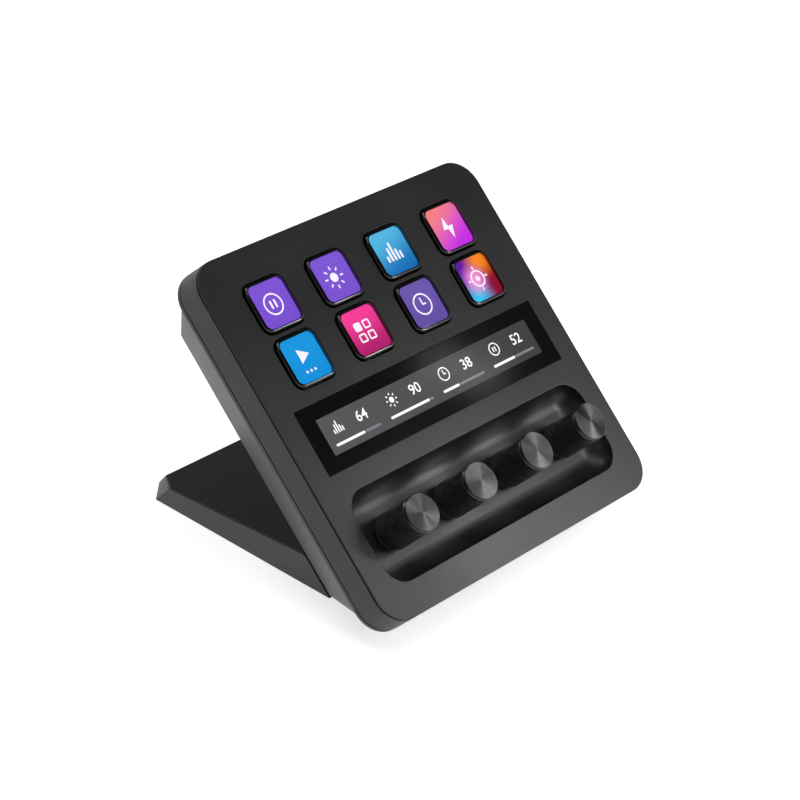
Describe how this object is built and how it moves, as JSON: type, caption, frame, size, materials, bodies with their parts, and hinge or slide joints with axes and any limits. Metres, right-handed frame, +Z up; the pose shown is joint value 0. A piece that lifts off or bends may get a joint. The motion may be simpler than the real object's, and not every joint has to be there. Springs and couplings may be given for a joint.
{
  "type": "macro keypad with knobs",
  "caption": "Desk macro keypad on a tilted wedge stand, with clear display keys, a long strip display and a concave trough of knurled push dials.",
  "frame": {"origin": "middle of the footprint, on the desk", "axes": "+X to the user's right, -Y towards the user, +Z up; the face looks up and towards -Y"},
  "size_m": [0.14, 0.1379, 0.1099],
  "materials": {
    "face_plastic": "fine satin texture",
    "frame_plastic": "fine satin texture",
    "base_top": "very dark matte",
    "strip_gloss": "polished black lens",
    "display": "smooth",
    "key_clear": "clear polished cap",
    "silicone": "matte",
    "board": "solder mask",
    "knob_metal": "black anodised, diamond knurl",
    "disc_metal": "spun",
    "steel": "plated",
    "encoder": "plated",
    "pad_rubber": "matte"
  },
  "bodies": {
    "keypad": {"faceplate": "face_plastic", "strip_glass": "strip_gloss", "strip_display": "display", "key_mat": "silicone", "key_display": "display", "mid_frame": "frame_plastic", "main_board": "board", "bushing_nuts": "steel", "rear_housing": "frame_plastic", "housing_screws": "steel", "usb_socket": "steel", "base_cover": "base_top", "base_shell": "frame_plastic", "rubber_pad": "pad_rubber", "weight_plate": "steel", "base_screws": "steel", "stand_screws": "steel", "encoder_1": "encoder", "encoder_2": "encoder", "encoder_3": "encoder", "encoder_4": "encoder"},
    "key_1": {"key_cap_1": "key_clear"},
    "key_2": {"key_cap_2": "key_clear"},
    "key_3": {"key_cap_3": "key_clear"},
    "key_4": {"key_cap_4": "key_clear"},
    "key_5": {"key_cap_5": "key_clear"},
    "key_6": {"key_cap_6": "key_clear"},
    "key_7": {"key_cap_7": "key_clear"},
    "key_8": {"key_cap_8": "key_clear"},
    "push_1": {"plunger_1": "encoder"},
    "dial_1": {"shaft_1": "steel", "knob_1": "knob_metal", "knob_disc_1": "disc_metal"},
    "push_2": {"plunger_2": "encoder"},
    "dial_2": {"shaft_2": "steel", "knob_2": "knob_metal", "knob_disc_2": "disc_metal"},
    "push_3": {"plunger_3": "encoder"},
    "dial_3": {"shaft_3": "steel", "knob_3": "knob_metal", "knob_disc_3": "disc_metal"},
    "push_4": {"plunger_4": "encoder"},
    "dial_4": {"shaft_4": "steel", "knob_4": "knob_metal", "knob_disc_4": "disc_metal"}
  },
  "joints": [
    {"name": "key_1_press", "type": "slide", "parent": "keypad", "child": "key_1", "axis": [0, 0.687, -0.7267], "range_m": [0, 0.0012], "stiffness_N_per_m": 350, "springref_m": -0.0012},
    {"name": "key_2_press", "type": "slide", "parent": "keypad", "child": "key_2", "axis": [0, 0.687, -0.7267], "range_m": [0, 0.0012], "stiffness_N_per_m": 350, "springref_m": -0.0012},
    {"name": "key_3_press", "type": "slide", "parent": "keypad", "child": "key_3", "axis": [0, 0.687, -0.7267], "range_m": [0, 0.0012], "stiffness_N_per_m": 350, "springref_m": -0.0012},
    {"name": "key_4_press", "type": "slide", "parent": "keypad", "child": "key_4", "axis": [0, 0.687, -0.7267], "range_m": [0, 0.0012], "stiffness_N_per_m": 350, "springref_m": -0.0012},
    {"name": "key_5_press", "type": "slide", "parent": "keypad", "child": "key_5", "axis": [0, 0.687, -0.7267], "range_m": [0, 0.0012], "stiffness_N_per_m": 350, "springref_m": -0.0012},
    {"name": "key_6_press", "type": "slide", "parent": "keypad", "child": "key_6", "axis": [0, 0.687, -0.7267], "range_m": [0, 0.0012], "stiffness_N_per_m": 350, "springref_m": -0.0012},
    {"name": "key_7_press", "type": "slide", "parent": "keypad", "child": "key_7", "axis": [0, 0.687, -0.7267], "range_m": [0, 0.0012], "stiffness_N_per_m": 350, "springref_m": -0.0012},
    {"name": "key_8_press", "type": "slide", "parent": "keypad", "child": "key_8", "axis": [0, 0.687, -0.7267], "range_m": [0, 0.0012], "stiffness_N_per_m": 350, "springref_m": -0.0012},
    {"name": "dial_1_push", "type": "slide", "parent": "keypad", "child": "push_1", "axis": [0, 0.687, -0.7267], "range_m": [0, 0.0008], "stiffness_N_per_m": 2500, "springref_m": -0.001},
    {"name": "dial_1_turn", "type": "hinge", "parent": "push_1", "child": "dial_1", "pos_m": [-0.04464, -0.04796, 0.03509], "axis": [0, -0.687, 0.7267], "continuous": true},
    {"name": "dial_2_push", "type": "slide", "parent": "keypad", "child": "push_2", "axis": [0, 0.687, -0.7267], "range_m": [0, 0.0008], "stiffness_N_per_m": 2500, "springref_m": -0.001},
    {"name": "dial_2_turn", "type": "hinge", "parent": "push_2", "child": "dial_2", "pos_m": [-0.01488, -0.04796, 0.03509], "axis": [0, -0.687, 0.7267], "continuous": true},
    {"name": "dial_3_push", "type": "slide", "parent": "keypad", "child": "push_3", "axis": [0, 0.687, -0.7267], "range_m": [0, 0.0008], "stiffness_N_per_m": 2500, "springref_m": -0.001},
    {"name": "dial_3_turn", "type": "hinge", "parent": "push_3", "child": "dial_3", "pos_m": [0.01488, -0.04796, 0.03509], "axis": [0, -0.687, 0.7267], "continuous": true},
    {"name": "dial_4_push", "type": "slide", "parent": "keypad", "child": "push_4", "axis": [0, 0.687, -0.7267], "range_m": [0, 0.0008], "stiffness_N_per_m": 2500, "springref_m": -0.001},
    {"name": "dial_4_turn", "type": "hinge", "parent": "push_4", "child": "dial_4", "pos_m": [0.04464, -0.04796, 0.03509], "axis": [0, -0.687, 0.7267], "continuous": true}
  ]
}
